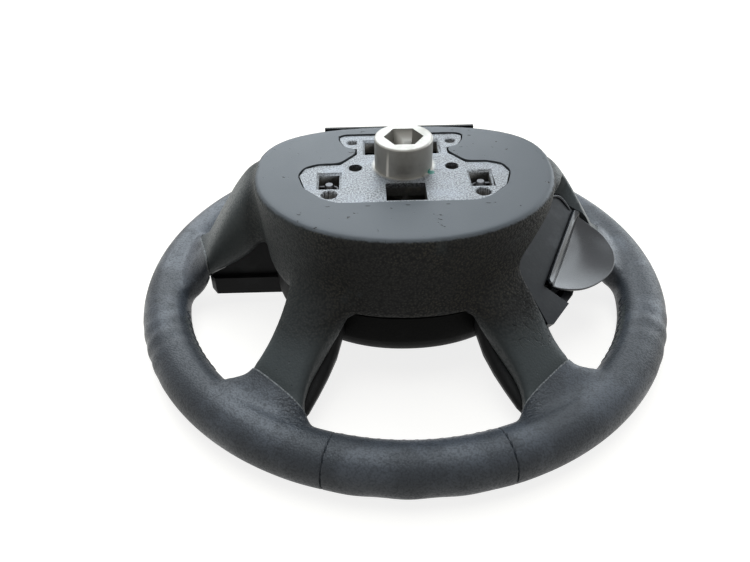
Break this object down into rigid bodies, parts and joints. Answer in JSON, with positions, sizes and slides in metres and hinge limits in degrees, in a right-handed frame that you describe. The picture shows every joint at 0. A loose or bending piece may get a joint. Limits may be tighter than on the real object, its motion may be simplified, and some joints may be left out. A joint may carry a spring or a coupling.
{
  "type": "steering wheel",
  "caption": "Spoked van steering wheel lying face down: leather rim, foam hub over a cast plate with a hexagon boss, airbag module, switches and a paddle behind the spoke.",
  "frame": {"origin": "Middle of the wheel on its axis, on the plane of the rim's front face, which is what it lies on.", "axes": "+Z along the wheel's axis, from the driver's side to the column; +Y to 12 o'clock; +X to the right as seen from the column side."},
  "size_m": [0.4, 0.4, 0.142],
  "materials": {
    "cast_aluminium": "as-cast, slightly sparkling",
    "steel": "plain drawn or pressed steel",
    "spring_steel": "oiled spring wire",
    "hub_foam": "coarse grained foam skin, matt",
    "rim_foam": "plain foam under the leather",
    "leather": "fine grained, worn to a satin",
    "trim_plastic": "finely textured",
    "cover_plastic": "soft grained",
    "key_rubber": "soft touch",
    "paddle_plastic": "smooth moulding, satin to gloss",
    "bag_fabric": "woven nylon, folded"
  },
  "bodies": {
    "wheel": {"hub_casting": "cast_aluminium", "arm_lower_right": "steel", "arm_lower_left": "steel", "arm_side_right": "steel", "arm_side_left": "steel", "rim_core": "steel", "rim_foam": "rim_foam", "foam_hub": "hub_foam", "foam_lower_right": "hub_foam", "foam_lower_left": "hub_foam", "foam_side_right": "hub_foam", "foam_side_left": "hub_foam", "leather_lower": "leather", "leather_right": "leather", "leather_upper": "leather", "leather_left": "leather", "root_lower_right": "leather", "root_lower_left": "leather", "root_side_right": "leather", "root_side_left": "leather", "cable_guard": "trim_plastic", "spoke_cover_right": "trim_plastic", "spoke_cover_left": "trim_plastic", "switch_bezel_right": "trim_plastic", "switch_bezel_left": "trim_plastic", "lower_trim_right": "trim_plastic", "lower_trim_left": "trim_plastic", "retaining_wire_right": "spring_steel", "retaining_wire_left": "spring_steel", "horn_spring_left": "spring_steel", "horn_spring_right": "spring_steel", "horn_spring_lower": "spring_steel", "paddle_housing": "paddle_plastic", "paddle_pin": "steel", "paddle_spring": "spring_steel"},
    "airbag_module": {"airbag_cover": "cover_plastic", "cover_frame": "trim_plastic", "airbag_pack": "bag_fabric", "module_carrier": "steel", "gas_generator": "steel", "guide_pin_left": "steel", "guide_pin_right": "steel", "guide_pin_lower": "steel", "hook_right": "steel", "hook_left": "steel"},
    "rocker_right": {"rocker_right": "key_rubber"},
    "rocker_left": {"rocker_left": "key_rubber"},
    "upper_key_right": {"upper_key_right": "key_rubber"},
    "upper_key_left": {"upper_key_left": "key_rubber"},
    "lower_key_right": {"lower_key_right": "key_rubber"},
    "lower_key_left": {"lower_key_left": "key_rubber"},
    "paddle": {"paddle": "paddle_plastic"}
  },
  "joints": [
    {"name": "horn_press", "type": "slide", "parent": "wheel", "child": "airbag_module", "axis": [0, 0, 1], "range_m": [0, 0.003], "stiffness_N_per_m": 6000, "springref_m": -0.004, "deforming": ["horn_spring_left", "horn_spring_right", "horn_spring_lower"]},
    {"name": "paddle_pull", "type": "hinge", "parent": "wheel", "child": "paddle", "pos_m": [0.10822, -0.03476, 0.05591], "axis": [0.4245, 0.8888, 0.1725], "range_deg": [0, 5], "stiffness_Nm_per_rad": 1.2, "springref_deg": -4.58},
    {"name": "rocker_right_tilt", "type": "hinge", "parent": "wheel", "child": "rocker_right", "pos_m": [0.127, 0.012, 0.017], "axis": [1, 0, 0], "range_deg": [-3, 3], "stiffness_Nm_per_rad": 0.4},
    {"name": "upper_key_right_press", "type": "slide", "parent": "wheel", "child": "upper_key_right", "axis": [0, 0, 1], "range_m": [0, 0.0012], "stiffness_N_per_m": 900, "springref_m": -0.0015},
    {"name": "lower_key_right_press", "type": "slide", "parent": "wheel", "child": "lower_key_right", "axis": [0, 0, 1], "range_m": [0, 0.0012], "stiffness_N_per_m": 900, "springref_m": -0.0015},
    {"name": "rocker_left_tilt", "type": "hinge", "parent": "wheel", "child": "rocker_left", "pos_m": [-0.127, 0.012, 0.017], "axis": [1, 0, 0], "range_deg": [-3, 3], "stiffness_Nm_per_rad": 0.4},
    {"name": "upper_key_left_press", "type": "slide", "parent": "wheel", "child": "upper_key_left", "axis": [0, 0, 1], "range_m": [0, 0.0012], "stiffness_N_per_m": 900, "springref_m": -0.0015},
    {"name": "lower_key_left_press", "type": "slide", "parent": "wheel", "child": "lower_key_left", "axis": [0, 0, 1], "range_m": [0, 0.0012], "stiffness_N_per_m": 900, "springref_m": -0.0015}
  ]
}
